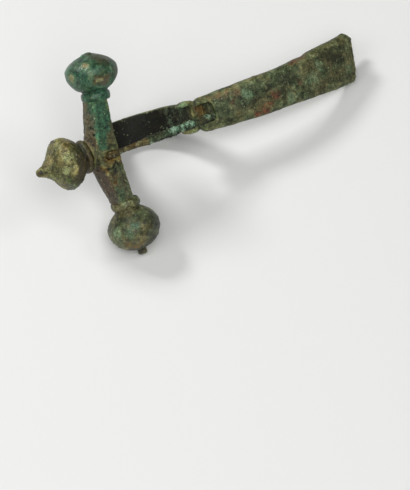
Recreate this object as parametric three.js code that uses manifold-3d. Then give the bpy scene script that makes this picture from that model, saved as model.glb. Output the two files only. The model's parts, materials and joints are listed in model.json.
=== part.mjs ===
// Crossbow brooch (fibula) of cast copper alloy, lying on its front with the back uppermost.
// Millimetres. The parts are shaped in the brooch's own axes: x runs from the head knob to the
// foot, y along the crossbar, z from the back (pin side) to the top of the bow. The whole brooch
// is then turned over and laid on three points: one side knob, the bow and the foot's far corner.
import * as THREE from 'three';
import { mergeVertices } from 'three/addons/utils/BufferGeometryUtils.js';
import Module from 'manifold-3d';

const wasm = await Module();
wasm.setup();

// Resting pose
const REST_ROLL = -139.9;
const REST_PITCH = 12.2;

// Crossbar
const ARM_REACH_A = 13.5;
const ARM_REACH_B = 14.7;
const BAR_SHIFT_MID = -2.5;
const BAR_SHIFT_END = -0.7;
const BAR_BACK_MID = 2.8;
const BAR_BACK_END = 2.4;
const BAR_RIDGE_MID = 3.9;
const BAR_RIDGE_END = 3.1;
const BAR_HEAD_SWELL = 1.4;
const SWELL_FALL_A = 0.8;
const SWELL_FALL_B = 1.7;
const BAR_DEPTH_MID = 4.3;
const BAR_DEPTH_END = 3.5;
const BAR_FRONT_MID = 5.2;
const BAR_STEPS = 6;
const BOSS_RADIUS = 4.4;
const SEAT_RADIUS = 5.4;

// Side knobs, their axis slightly askew to the foot
const SIDE_KNOB_RADIUS = 7.55;
const KNOB_A_CENTRE = 22.5;
const KNOB_B_CENTRE = 23.6;
const KNOB_AXIS_X = 0.7;
const BAR_SKEW = 1.6;
const BAR_TILT = 0.8;
const ARM_SWEEP = 5;
const NECK_RADIUS = 3.8;
const COLLAR_RADIUS = 4.2;
const COLLAR_LENGTH = 2.6;
const SEAM = 0.3;
const KNOB_SEGMENTS = 28;
const KNOB_A_TIP = [[5.3, 0]];
const KNOB_B_TIP = [[7.0, 1.35], [7.9, 1.3], [8.3, 0]];

// Head knob
const HEAD_KNOB_RADIUS = 7.45;
const HEAD_KNOB_CENTRE = 14.2;
const HEAD_KNOB_RISE = 0.6;
const HEAD_KNOB_TURN = 3.5;
const HEAD_STEM_START = 7.3;

// Bow
const BOW_START_X = 1.0;
const BOW_APEX_X = 13.1;
const BOW_APEX_Z = 20.9;
const BOW_END_X = 29.8;
const BOW_END_Z = 1.1;
const BOW_HALF_INNER = 4.0;
const BOW_HALF_OUTER = 2.9;
const BOW_INSIDE = 1.75;
const BOW_OUTSIDE = 2.6;
const BOW_STEPS = 22;

// Moulding between bow and foot
const MOULD_HALF = 4.75;
const MOULD_HALF_ENDS = 3.4;
const MOULD_Y = -0.25;
const MOULD_LENGTH = 5.6;
const MOULD_SCOOP_HALF = 3.4;
const MOULD_SCOOP_END_X = 27.7;

// Foot with its hollow pin sheath
const FOOT_END_X = 85.2;
const FOOT_END_Z = 0.4;
const FOOT_SAG = -4.7;
const FOOT_SWAY = 0.45;
const FOOT_THICK = 5.0;
const FOOT_HALF_START = 4.9;
const FOOT_HALF_MID = 5.75;
const FOOT_HALF_END = 7.15;
const FOOT_END_SLANT = 0.15;
const FOOT_END_ROUND = 0.34;
const FAR_BULGE_START = 0.1;
const FAR_BULGE_MID = 0.4;
const FOOT_STEPS = 14;
const PLATE_THICK = 1.8;
const WALL = 1.0;
const LIP = 0.062;
const MOUTH_LENGTH = 4.1;
const MOUTH_HALF = 2.8;
const MOUTH_Y = -0.1;

// Pin
const PIN_Y = 1.4;
const HINGE_X = -1.6;
const HINGE_Z = -2.2;
const PIN_TIP_X = 33.4;
const PIN_TIP_Y = 1.5;
const PIN_TIP_Z = -2.3;
const PIN_NECK_RADIUS = 0.75;
const PIN_RADIUS = 1.15;
const PIN_EYE_RADIUS = 1.9;
const PIN_EYE_HALF = 1.0;
const PIN_STEPS = 14;

const deg = THREE.MathUtils.degToRad;
const lerp = THREE.MathUtils.lerp;
const vec = (x, y, z) => new THREE.Vector3(x, y, z);

// Skin over a row of convex rings, closed at both ends.
function loft(rings) {
  const n = rings[0].length;
  const position = [];
  const index = [];
  for (const ring of rings) {
    for (const p of ring) position.push(p.x, p.y, p.z);
  }
  for (let i = 0; i < rings.length - 1; i++) {
    for (let j = 0; j < n; j++) {
      const a = i * n + j;
      const b = i * n + ((j + 1) % n);
      index.push(a, b, b + n, a, b + n, a + n);
    }
  }
  const last = (rings.length - 1) * n;
  for (let j = 1; j < n - 1; j++) {
    index.push(0, j + 1, j);
    index.push(last, last + j, last + j + 1);
  }
  const geometry = new THREE.BufferGeometry();
  geometry.setAttribute('position', new THREE.Float32BufferAttribute(position, 3));
  geometry.setIndex(index);
  return geometry;
}

function toSolid(geometry) {
  const bare = geometry.clone();
  bare.deleteAttribute('normal');
  bare.deleteAttribute('uv');
  const merged = mergeVertices(bare, 1e-4);
  const corners = new Float32Array(merged.attributes.position.array);
  const make = (triVerts) => {
    return new wasm.Manifold(new wasm.Mesh({ numProp: 3, vertProperties: corners, triVerts }));
  };
  const faces = new Uint32Array(merged.index.array);
  const solid = make(faces);
  return solid.volume() < 0 ? make(faces.reverse()) : solid;
}

function toGeometry(solid) {
  const mesh = solid.getMesh();
  const geometry = new THREE.BufferGeometry();
  geometry.setAttribute('position', new THREE.Float32BufferAttribute(mesh.vertProperties, 3));
  geometry.setIndex(new THREE.Uint32BufferAttribute(mesh.triVerts, 1));
  geometry.computeVertexNormals();
  return geometry;
}

// Crossbar: six-sided, flat at the back, swelling on the head side at the middle.
function barRing(y) {
  const reach = y < 0 ? ARM_REACH_A : ARM_REACH_B;
  const u = Math.min(Math.abs(y) / reach, 1);
  const back = lerp(BAR_BACK_MID, BAR_BACK_END, u);
  const ridge = lerp(BAR_RIDGE_MID, BAR_RIDGE_END, u);
  const swell = BAR_HEAD_SWELL * (1 - u ** (y < 0 ? SWELL_FALL_A : SWELL_FALL_B));
  const depth = lerp(BAR_DEPTH_MID, BAR_DEPTH_END, u);
  const front = lerp(BAR_FRONT_MID, BAR_DEPTH_END, u);
  const mid = lerp(BAR_SHIFT_MID, BAR_SHIFT_END, u);
  const sweep = Math.tan(deg(ARM_SWEEP)) * u * Math.sign(y);
  const at = (side, lift) => vec(mid + side, y - side * sweep, lift);
  return [
    at(-back - swell * 0.5, -depth),
    at(-ridge - swell, 0.3),
    at(-back - swell * 0.5, front),
    at(back, front),
    at(ridge, 0.3),
    at(back, -depth),
  ];
}

function crossbar() {
  const rings = [];
  for (let i = -BAR_STEPS; i <= BAR_STEPS; i++) {
    const reach = i < 0 ? ARM_REACH_A : ARM_REACH_B;
    rings.push(barRing((i / BAR_STEPS) * reach));
  }
  const geometry = loft(rings);
  geometry.rotateX(deg(BAR_TILT));
  geometry.rotateZ(deg(BAR_SKEW));
  return toSolid(geometry);
}

// Middle line of the bow: two quarter ellipses that meet at the top.
function bowPoint(t) {
  const a = t * Math.PI;
  const rising = t < 0.5;
  const reach = rising ? BOW_APEX_X - BOW_START_X : BOW_END_X - BOW_APEX_X;
  const floor = rising ? 0 : BOW_END_Z;
  const x = BOW_APEX_X - reach * Math.cos(a);
  const z = floor + (BOW_APEX_Z - floor) * Math.sin(a);
  return vec(x, 0, z);
}

function bow() {
  const rings = [];
  for (let i = 0; i <= BOW_STEPS; i++) {
    const t = i / BOW_STEPS;
    const p = bowPoint(t);
    const q = bowPoint(Math.min(t + 0.01, 1));
    const r = bowPoint(Math.max(t - 0.01, 0));
    const along = q.sub(r).normalize();
    const out = vec(-along.z, 0, along.x);
    const at = (side, lift) => p.clone().addScaledVector(out, lift).add(vec(0, side, 0));
    rings.push([
      at(BOW_HALF_INNER, -BOW_INSIDE),
      at(-BOW_HALF_INNER, -BOW_INSIDE),
      at(-BOW_HALF_INNER, 0.3),
      at(-BOW_HALF_OUTER, BOW_OUTSIDE * 0.8),
      at(0, BOW_OUTSIDE),
      at(BOW_HALF_OUTER, BOW_OUTSIDE * 0.8),
      at(BOW_HALF_INNER, 0.3),
    ]);
  }
  return toSolid(loft(rings));
}

// Middle line of the foot: a shallow curve whose far end lifts towards the front.
function footPoint(s) {
  const x = lerp(BOW_END_X, FOOT_END_X, s);
  const z = lerp(BOW_END_Z, FOOT_END_Z, s) + FOOT_SAG * 4 * s * (1 - s);
  return vec(x, 0, z);
}

function footFrame(s) {
  const along = footPoint(s + 0.01).sub(footPoint(s - 0.01)).normalize();
  const out = vec(-along.z, 0, along.x);
  const p = footPoint(s);
  const sway = FOOT_SWAY * (1 - 5 * Math.max(s - 0.5, 0) * s);
  const slant = FOOT_END_SLANT * THREE.MathUtils.smoothstep(s, 0.7, 1);
  return (side, lift) => {
    return p.clone().addScaledVector(out, lift).add(vec(-side * slant, side + sway, 0));
  };
}

function footHalf(s) {
  const body = lerp(FOOT_HALF_START, FOOT_HALF_MID, Math.min(s / 0.3, 1));
  const flare = THREE.MathUtils.smoothstep(s, 0.48, 0.95);
  const far = Math.max(s - 0.93, 0) / 0.07;
  const near = Math.max(0.03 - s, 0) / 0.03;
  return lerp(body, FOOT_HALF_END, flare) * (1 - FOOT_END_ROUND * far ** 2.2 - 0.19 * near ** 2);
}

// How much the far edge of the foot stands out beyond the near one.
function farBulge(s) {
  const start = 1 - THREE.MathUtils.smoothstep(s, 0.2, 0.45);
  const middle = THREE.MathUtils.smoothstep(s, 0.42, 0.6);
  const end = 1 - THREE.MathUtils.smoothstep(s, 0.72, 0.86);
  return FAR_BULGE_START * start + FAR_BULGE_MID * middle * end;
}

// Cross-section of the foot: bevelled flat front, rounded back.
function footRing(s, inset, front, back) {
  const at = footFrame(s);
  const w = footHalf(s) - inset;
  const v = w + farBulge(s);
  return [
    at(w - 0.9, front),
    at(w, front - 1.0),
    at(w, back * 0.35),
    at(w * 0.82, back * 0.82),
    at(w * 0.45, back),
    at(-v * 0.45, back),
    at(-v * 0.82, back * 0.82),
    at(-v, back * 0.35),
    at(-v, front - 1.0),
    at(-v + 0.9, front),
  ];
}

// Rings along the foot, closer together at its rounded ends.
function footStations() {
  const stations = [-0.025, 0, 0.015, 0.03];
  for (let i = 1; i <= FOOT_STEPS; i++) stations.push(lerp(0.03, 0.93, i / FOOT_STEPS));
  stations.push(0.95, 0.965, 0.977, 0.989, 1);
  return stations;
}

function foot() {
  const half = FOOT_THICK / 2;
  const outer = [];
  for (const s of footStations()) outer.push(footRing(s, 0, half, -half));
  const inner = [];
  for (let i = 0; i <= FOOT_STEPS; i++) {
    const s = lerp(0.052, 1.03, i / FOOT_STEPS);
    inner.push(footRing(s, WALL, half - PLATE_THICK, -half + WALL));
  }
  const mouthEnd = BOW_END_X + MOUTH_LENGTH;
  const deep = new THREE.BoxGeometry(MOUTH_LENGTH - 1.6, MOUTH_HALF * 2, 5);
  deep.translate(mouthEnd - (MOUTH_LENGTH - 1.6) / 2, MOUTH_Y, 0.8 - 2.5);
  const shallow = new THREE.BoxGeometry(MOUTH_LENGTH + 2, MOUTH_HALF * 2, 5);
  shallow.translate(mouthEnd - (MOUTH_LENGTH + 2) / 2, MOUTH_Y, -0.7 - 2.5);
  const lip = [];
  for (const s of [1 - LIP, 1.04]) {
    lip.push(footRing(s, footHalf(s) - FOOT_HALF_END - 1, half - PLATE_THICK, -half - 1));
  }
  let solid = toSolid(loft(outer));
  solid = solid.subtract(toSolid(loft(inner))).subtract(toSolid(loft(lip)));
  solid = solid.subtract(toSolid(deep)).subtract(toSolid(shallow));
  return solid;
}

// Moulding with an ear on each side, cleared away under the bow.
function moulding() {
  const rings = [];
  const count = 8;
  for (let i = 0; i <= count; i++) {
    const u = i / count;
    const swell = Math.sin(Math.PI * lerp(0.06, 0.93, u)) ** 0.6;
    const w = lerp(MOULD_HALF_ENDS, MOULD_HALF, swell);
    const x = BOW_END_X - MOULD_LENGTH * (1 - u);
    const h = lerp(1.2, 2.4, swell);
    rings.push([
      vec(x, MOULD_Y + w, BOW_END_Z - h * 0.8),
      vec(x, MOULD_Y - w, BOW_END_Z - h * 0.8),
      vec(x, MOULD_Y - w, BOW_END_Z + h),
      vec(x, MOULD_Y + w, BOW_END_Z + h),
    ]);
  }
  const width = MOULD_SCOOP_HALF * 2;
  const scoop = new THREE.BoxGeometry(MOULD_LENGTH, width, MOULD_HALF * 2);
  scoop.translate(MOULD_SCOOP_END_X - MOULD_LENGTH / 2, MOULD_Y, BOW_END_Z);
  return toSolid(loft(rings)).subtract(toSolid(scoop));
}

// Surface of revolution from [height, radius] pairs, its axis along local +y.
function turned(profile, segments) {
  const points = profile.map(([h, r]) => new THREE.Vector2(r, h));
  return new THREE.LatheGeometry(points, segments);
}

// Onion-shaped knob with neck and collar. Heights are measured from its widest ring, waist and
// shoulder say how quickly it narrows on the inner and the outer side.
function onion(radius, inner, outer, waist, shoulder, stem, tip) {
  const profile = [[-inner - stem - COLLAR_LENGTH, 0]];
  profile.push([-inner - stem - COLLAR_LENGTH, COLLAR_RADIUS - 0.5]);
  profile.push([-inner - stem - COLLAR_LENGTH * 0.75, COLLAR_RADIUS]);
  profile.push([-inner - stem - COLLAR_LENGTH * 0.25, COLLAR_RADIUS]);
  profile.push([-inner - stem, COLLAR_RADIUS - 0.6]);
  profile.push([-inner - stem * 0.3, NECK_RADIUS]);
  for (let i = 1; i <= 6; i++) {
    const a = (i / 6) * Math.PI * 0.5;
    profile.push([-inner * Math.cos(a), lerp(NECK_RADIUS, radius, Math.sin(a) ** waist)]);
  }
  for (let i = 1; i <= 6; i++) {
    const a = (i / 7) * Math.PI * 0.5;
    profile.push([outer * Math.sin(a), radius * Math.cos(a) ** shoulder]);
  }
  for (const step of tip) profile.push(step);
  return profile;
}

const knobA = turned(onion(SIDE_KNOB_RADIUS, 5.4, 5.0, 1.4, 1.35, 0.5, KNOB_A_TIP), KNOB_SEGMENTS);
const knobB = turned(onion(SIDE_KNOB_RADIUS, 5.4, 6.6, 1.9, 1.05, 0.5, KNOB_B_TIP), KNOB_SEGMENTS);

function headProfile() {
  const stem = HEAD_KNOB_CENTRE - HEAD_STEM_START;
  const profile = [[-stem, 0], [-stem, 4.5], [-stem + 0.4, 4.9], [-stem + 1.3, 4.8]];
  profile.push([-stem + 1.7, 4.3]);
  for (let i = 1; i <= 6; i++) {
    const a = (i / 6) * Math.PI * 0.5;
    profile.push([-4.9 * Math.cos(a), lerp(3.9, HEAD_KNOB_RADIUS, Math.sin(a) ** 1.6)]);
  }
  for (const h of [1.3, 2.0, 2.6]) {
    profile.push([h, HEAD_KNOB_RADIUS * Math.sqrt(1 - (h / 4.7) ** 2)]);
  }
  for (let i = 1; i <= 6; i++) {
    profile.push([2.6 + i, 6.2 * Math.exp(-i / 3.4)]);
  }
  profile.push([8.9, 0.8], [9.1, 0]);
  return profile;
}

const knobHead = turned(headProfile(), KNOB_SEGMENTS);

// Pin with its eye, measured from the hinge axis.
function pinSolid() {
  const eye = new THREE.CylinderGeometry(PIN_EYE_RADIUS, PIN_EYE_RADIUS, PIN_EYE_HALF * 2, 20);
  const rings = [];
  const end = vec(PIN_TIP_X - HINGE_X, PIN_TIP_Y - PIN_Y, PIN_TIP_Z - HINGE_Z);
  const start = vec(0.4, 0, -PIN_EYE_RADIUS + PIN_NECK_RADIUS);
  const count = 10;
  for (let i = 0; i <= PIN_STEPS; i++) {
    const u = i / PIN_STEPS;
    const p = start.clone().lerp(end, u);
    const grow = THREE.MathUtils.smoothstep(u, 0.18, 0.36);
    const taper = u > 0.96 ? 0.75 : 1;
    const r = lerp(PIN_NECK_RADIUS, PIN_RADIUS, grow) * taper;
    const ring = [];
    for (let j = 0; j < count; j++) {
      const a = (j / count) * Math.PI * 2;
      ring.push(vec(p.x, p.y + r * Math.cos(a), p.z + r * Math.sin(a)));
    }
    rings.push(ring);
  }
  return toSolid(eye).add(toSolid(loft(rings)));
}

function hingeSlot() {
  const slot = new THREE.BoxGeometry(9, (PIN_EYE_HALF + SEAM) * 2, 7);
  slot.translate(HINGE_X + 2.2, PIN_Y, HINGE_Z - 1.2);
  return toSolid(slot);
}

// Seat of the head knob on the crossbar.
function boss() {
  const seat = new THREE.CylinderGeometry(BOSS_RADIUS, BOSS_RADIUS + 0.4, 5, 24);
  seat.applyMatrix4(headLocal(-(HEAD_KNOB_CENTRE - HEAD_STEM_START) - SEAM - 1.5));
  return toSolid(seat);
}

function headLocal(along = 0) {
  const local = new THREE.Matrix4().makeRotationY(deg(HEAD_KNOB_TURN));
  local.multiply(new THREE.Matrix4().makeTranslation(-HEAD_KNOB_CENTRE, 0, HEAD_KNOB_RISE));
  local.multiply(new THREE.Matrix4().makeRotationZ(Math.PI / 2));
  local.multiply(new THREE.Matrix4().makeTranslation(0, along, 0));
  return local;
}

const rest = new THREE.Matrix4().makeRotationY(deg(REST_PITCH));
rest.multiply(new THREE.Matrix4().makeRotationX(deg(REST_ROLL)));

const brooch = new THREE.Group();
brooch.name = 'crossbow_fibula';

function piece(name, geometry, local, color, roughness, metalness) {
  const material = new THREE.MeshStandardMaterial({ color, roughness, metalness });
  const mesh = new THREE.Mesh(geometry, material);
  mesh.name = name;
  rest.clone().multiply(local).decompose(mesh.position, mesh.quaternion, mesh.scale);
  mesh.scale.set(1, 1, 1);
  brooch.add(mesh);
}

const skew = new THREE.Matrix4().makeRotationZ(deg(BAR_SKEW));
skew.multiply(new THREE.Matrix4().makeRotationX(deg(BAR_TILT)));

function sideLocal(side, centre) {
  const local = skew.clone();
  local.multiply(new THREE.Matrix4().makeTranslation(KNOB_AXIS_X, side * centre, 0));
  const turn = side < 0 ? Math.PI + deg(ARM_SWEEP) : -deg(ARM_SWEEP);
  local.multiply(new THREE.Matrix4().makeRotationZ(turn));
  return local;
}

// Clears the seat flat so that the knob's collar meets it with a narrow seam.
function seatCut() {
  const cut = new THREE.CylinderGeometry(SEAT_RADIUS, SEAT_RADIUS, 4, 24);
  cut.applyMatrix4(headLocal(-(HEAD_KNOB_CENTRE - HEAD_STEM_START) - SEAM + 2));
  return toSolid(cut);
}

const bodySolid = crossbar().add(boss()).add(bow()).add(moulding()).add(foot())
  .subtract(seatCut()).subtract(hingeSlot());

piece('body', toGeometry(bodySolid), new THREE.Matrix4(), 0x4f5a48, 0.75, 0.35);
piece('knob_side_a', toGeometry(toSolid(knobA)), sideLocal(-1, KNOB_A_CENTRE), 0x3d6152, 0.7, 0.35);
piece('knob_side_b', toGeometry(toSolid(knobB)), sideLocal(1, KNOB_B_CENTRE), 0x5c6046, 0.7, 0.35);
piece('knob_head', toGeometry(toSolid(knobHead)), headLocal(), 0x6e6b47, 0.75, 0.35);
piece('pin', toGeometry(pinSolid()), new THREE.Matrix4().makeTranslation(HINGE_X, PIN_Y, HINGE_Z),
  0x7f9384, 0.85, 0.2);

// Lay it on the floor: lowest point at z = 0, footprint centred on the origin.
brooch.updateMatrixWorld(true);
const box = new THREE.Box3().setFromObject(brooch, true);
const middle = box.getCenter(new THREE.Vector3());
for (const mesh of brooch.children) {
  mesh.position.sub(vec(middle.x, middle.y, box.min.z));
}

export default brooch;
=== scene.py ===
"""Crossbow brooch of patinated copper alloy, lying on its front with the pin side up.

Shapes are worked out in millimetres in the brooch's own axes: x from the head knob to the foot,
y along the crossbar, z from the back (pin side) to the top of the bow. Each piece is lofted or
turned, joined, remeshed, given its corroded surface and then laid down where the frame has it.
"""
import json
import math
from itertools import product

import bmesh
import bpy
import numpy as np
from mathutils import Matrix, Vector


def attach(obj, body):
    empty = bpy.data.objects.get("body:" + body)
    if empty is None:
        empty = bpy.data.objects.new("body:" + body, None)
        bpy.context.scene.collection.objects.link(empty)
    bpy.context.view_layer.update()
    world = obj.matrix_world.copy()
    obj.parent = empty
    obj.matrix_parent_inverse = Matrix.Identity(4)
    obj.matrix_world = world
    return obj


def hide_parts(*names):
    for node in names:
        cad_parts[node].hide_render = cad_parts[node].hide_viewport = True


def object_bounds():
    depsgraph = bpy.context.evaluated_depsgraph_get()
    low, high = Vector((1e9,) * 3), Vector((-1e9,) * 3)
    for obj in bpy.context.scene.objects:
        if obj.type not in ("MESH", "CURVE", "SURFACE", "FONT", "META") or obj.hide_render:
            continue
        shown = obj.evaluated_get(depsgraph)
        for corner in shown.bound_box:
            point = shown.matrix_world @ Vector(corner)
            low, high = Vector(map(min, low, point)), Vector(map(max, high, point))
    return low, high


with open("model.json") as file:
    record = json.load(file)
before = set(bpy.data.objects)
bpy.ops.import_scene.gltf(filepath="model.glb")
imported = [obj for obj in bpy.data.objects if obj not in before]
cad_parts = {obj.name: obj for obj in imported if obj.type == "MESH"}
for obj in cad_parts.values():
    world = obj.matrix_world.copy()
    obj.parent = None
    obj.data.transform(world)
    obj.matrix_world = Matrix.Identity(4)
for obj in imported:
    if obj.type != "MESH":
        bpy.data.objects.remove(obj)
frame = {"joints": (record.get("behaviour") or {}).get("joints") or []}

cad_low, cad_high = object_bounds()

# Resting pose of the brooch, and the hinge in the brooch's own axes
REST_ROLL = -139.9
REST_PITCH = 12.2
HINGE = np.array([-1.6, 1.4, -2.2])

# Crossbar
ARM_REACH = {-1: 13.5, 1: 14.7}
BAR_SHIFT = (-2.5, -0.7)
BAR_BACK = (2.8, 2.4)
BAR_RIDGE = (3.9, 3.1)
BAR_HEAD_SWELL = 1.4
SWELL_FALL = {-1: 0.8, 1: 1.7}
BAR_DEPTH = (4.3, 3.5)
BAR_FRONT_MID = 5.2
BAR_SKEW = 1.6
BAR_TILT = 0.8
ARM_SWEEP = 5.0

# Knobs
SIDE_RADIUS = 7.55
SIDE_CENTRE = {-1: 22.5, 1: 23.6}
KNOB_AXIS_X = 0.7
NECK_RADIUS = 3.8
COLLAR_RADIUS = 4.2
COLLAR_LENGTH = 2.6
HEAD_RADIUS = 7.45
HEAD_CENTRE = 14.2
HEAD_RISE = 0.6
HEAD_TURN = 3.5
HEAD_STEM_START = 7.3
BOSS_RADIUS = 4.4
SEAT_RADIUS = 5.4
SEAM = 0.3
ARM_CLOSE = 0.75
SLOT_GAP = 0.12

# Bow and moulding
BOW_START_X = 1.0
BOW_APEX = (13.1, 20.9)
BOW_END = (29.8, 1.1)
BOW_HALF_INNER = 4.0
BOW_HALF_OUTER = 2.9
BOW_INSIDE = 1.75
BOW_OUTSIDE = 2.6
MOULD_HALF = 4.75
MOULD_HALF_ENDS = 3.4
MOULD_Y = -0.25
MOULD_LENGTH = 5.6
MOULD_SCOOP_X = (21, 27.7)
MOULD_SCOOP_HALF = 3.4

# Foot with its pin sheath
FOOT_END = (85.2, 0.4)
FOOT_SAG = -4.7
FOOT_SWAY = 0.45
FOOT_THICK = 5.0
FOOT_HALF = (4.9, 5.75, 7.15)
FOOT_END_SLANT = 0.15
FOOT_END_ROUND = 0.34
FAR_BULGE = (0.1, 0.4)
EDGE_NOTCH = 0.3
PLATE_THICK = 1.8
WALL = 1.0
LIP = 0.062
LIP_LEAN = 1.4
MOUTH_LENGTH = 4.1
MOUTH_HALF = 2.8
MOUTH_Y = -0.1
MOUTH_CORNER = 2.2

# Pin
PIN_TIP = np.array([33.4, 1.5, -2.3])
PIN_NECK_RADIUS = 0.75
PIN_RADIUS = 1.15
PIN_EYE_RADIUS = 1.9
PIN_EYE_HALF = 1.0

# Mesh resolution
BODY_VOXEL = 0.26
KNOB_VOXEL = 0.15
PIN_VOXEL = 0.11

# Corroded surface: averaging rounds and height that "relief" is measured by, gap left inside the CAD box
RELIEF_ROUNDS = 14
RELIEF_HEIGHT = 0.12
BOX_MARGIN = 0.00002
BUMP_DISTANCE = 0.00015

# Floor and the light all round
FLOOR_HALF = 4.0
WORLD_STRENGTH = 0.12

# Camera and picture
CAMERA_AZIMUTH = -29.99
CAMERA_ELEVATION = 58.5
CAMERA_ROLL = -1.48
CAMERA_DISTANCE = 1.0842
CAMERA_TARGET = (-0.0176, -0.0289, 0.0)
CAMERA_LENS = 279.4


# ---------------------------------------------------------------- numbers and noise

def lerp(a, b, t):
    return a + (b - a) * t


def smoothstep(x, low, high):
    t = np.clip((np.asarray(x, float) - low) / (high - low), 0, 1)
    return t * t * (3 - 2 * t)


def unit(v):
    return v / np.maximum(np.linalg.norm(v, axis=-1, keepdims=True), 1e-9)


GRADIENTS = unit(np.random.default_rng(11).normal(size=(256, 3)))


def noise(points, size, seed=0):
    """Gradient noise, about -1 to 1, with features about size across."""
    p = points / size + 31.7 * (seed + 1)
    cell = np.floor(p).astype(np.int64)
    f = p - cell
    fade = f * f * f * (f * (f * 6 - 15) + 10)
    total = np.zeros(len(p))
    for corner in product((0, 1), repeat=3):
        c = cell + corner
        h = (c[:, 0] * 73856093) ^ (c[:, 1] * 19349663) ^ (c[:, 2] * 83492791)
        h = (h ^ (h >> 13)) * 1274126177
        gradient = GRADIENTS[(h >> 8) & 255]
        weight = np.prod(np.where(corner, fade, 1 - fade), axis=1)
        total += weight * ((f - corner) * gradient).sum(1)
    return total * 1.7


def cloud(points, size, octaves=3, seed=0):
    """Noise with finer and fainter noise on top."""
    total = sum(noise(points, size / 2 ** i, seed + i) / 2 ** i for i in range(octaves))
    return total / sum(1 / 2 ** i for i in range(octaves))


# ---------------------------------------------------------------- solids

def new_object(name, mesh):
    piece = bpy.data.objects.new(name, mesh)
    bpy.context.scene.collection.objects.link(piece)
    return piece


def loft(rings, name="loft"):
    """Closed skin over a row of rings, each an (n, 3) array."""
    rings = np.array(rings)
    rows, n = rings.shape[:2]
    faces = []
    for i in range(rows - 1):
        for j in range(n):
            k = (j + 1) % n
            faces.append((i * n + j, i * n + k, (i + 1) * n + k, (i + 1) * n + j))
    faces.append(tuple(range(n)))
    faces.append(tuple(range((rows - 1) * n, rows * n)))
    mesh = bpy.data.meshes.new(name)
    mesh.from_pydata(rings.reshape(-1, 3).tolist(), [], faces)
    shape = bmesh.new()
    shape.from_mesh(mesh)
    bmesh.ops.recalc_face_normals(shape, faces=shape.faces)
    if shape.calc_volume(signed=True) < 0:
        bmesh.ops.reverse_faces(shape, faces=shape.faces)
    shape.to_mesh(mesh)
    shape.free()
    return new_object(name, mesh)


def rounded(ring, radius, steps=3):
    """The ring with each corner replaced by a short curve."""
    ring = np.array(ring, float)
    before = np.roll(ring, 1, axis=0) - ring
    after = np.roll(ring, -1, axis=0) - ring
    points = []
    for corner, a, b in zip(ring, before, after):
        la, lb = np.linalg.norm(a), np.linalg.norm(b)
        start = corner + a / la * min(radius, 0.45 * la)
        end = corner + b / lb * min(radius, 0.45 * lb)
        for t in np.linspace(0, 1, steps + 1):
            points.append((1 - t) ** 2 * start + 2 * t * (1 - t) * corner + t * t * end)
    return np.array(points)


def turned(profile, segments=72, name="turned"):
    """Solid of revolution about +y from (height, radius) pairs."""
    angle = np.arange(segments) * 2 * math.pi / segments
    rings = []
    for height, radius in profile:
        r = max(radius, 0.02)
        rings.append(np.stack([r * np.cos(angle), np.full(segments, height), r * np.sin(angle)], 1))
    return loft(rings, name)


def block(low, high):
    """Box between two corners."""
    (x0, y0, z0), (x1, y1, z1) = low, high
    return loft([[(x, y0, z0), (x, y1, z0), (x, y1, z1), (x, y0, z1)] for x in (x0, x1)])


def pocket(low, high, corner):
    """Box between two corners with rounded upright edges."""
    (x0, y0, z0), (x1, y1, z1) = low, high
    rings = [[(x0, y0, z), (x1, y0, z), (x1, y1, z), (x0, y1, z)] for z in (z0, z1)]
    return loft([rounded(ring, corner, 5) for ring in rings])


def bake_modifiers(piece):
    graph = bpy.context.evaluated_depsgraph_get()
    mesh = bpy.data.meshes.new_from_object(piece.evaluated_get(graph))
    old = piece.data
    piece.modifiers.clear()
    piece.data = mesh
    bpy.data.meshes.remove(old)
    return piece


def combine(target, others, operation):
    """Joins the others to target, or cuts them away."""
    for other in others:
        cut = target.modifiers.new("cut", "BOOLEAN")
        cut.operation = operation
        cut.solver = "EXACT"
        cut.object = other
        bake_modifiers(target)
        bpy.data.objects.remove(other)
    return target


def remesh(piece, voxel, smooth=2):
    """Even quads all over, with slightly softened edges."""
    remesher = piece.modifiers.new("remesh", "REMESH")
    remesher.mode = "VOXEL"
    remesher.voxel_size = voxel
    softener = piece.modifiers.new("soften", "SMOOTH")
    softener.factor = 0.5
    softener.iterations = smooth
    return bake_modifiers(piece)


def move(piece, matrix):
    piece.data.transform(matrix)
    return piece


# ---------------------------------------------------------------- forms of the brooch

def bar_ring(y):
    side = -1 if y < 0 else 1
    u = min(abs(y) / ARM_REACH[side], 1)
    back = lerp(*BAR_BACK, u)
    ridge = lerp(*BAR_RIDGE, u)
    swell = BAR_HEAD_SWELL * (1 - u ** SWELL_FALL[side])
    depth = lerp(*BAR_DEPTH, u)
    front = lerp(BAR_FRONT_MID, BAR_DEPTH[1], u)
    middle = lerp(*BAR_SHIFT, u)
    sweep = math.tan(math.radians(ARM_SWEEP)) * u * side
    ring = []
    for across, lift in (
        (-back - swell * 0.5, -depth),
        (-ridge - swell, 0.3),
        (-back - swell * 0.5, front),
        (back, front),
        (ridge, 0.3),
        (back, -depth),
    ):
        ring.append((middle + across, y - across * sweep, lift))
    return rounded(ring, 0.7)


def skew():
    turn = Matrix.Rotation(math.radians(BAR_SKEW), 4, "Z")
    return turn @ Matrix.Rotation(math.radians(BAR_TILT), 4, "X")


def crossbar():
    reach_a = ARM_REACH[-1] + ARM_CLOSE
    reach_b = ARM_REACH[1] + ARM_CLOSE
    steps = np.concatenate([np.linspace(-reach_a, 0, 20)[:-1], np.linspace(0, reach_b, 20)])
    return move(loft([bar_ring(y) for y in steps]), skew())


def bow_point(t):
    a = t * math.pi
    reach, floor = (BOW_APEX[0] - BOW_START_X, 0) if t < 0.5 else (BOW_END[0] - BOW_APEX[0], BOW_END[1])
    return np.array([BOW_APEX[0] - reach * math.cos(a), 0, floor + (BOW_APEX[1] - floor) * math.sin(a)])


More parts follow.
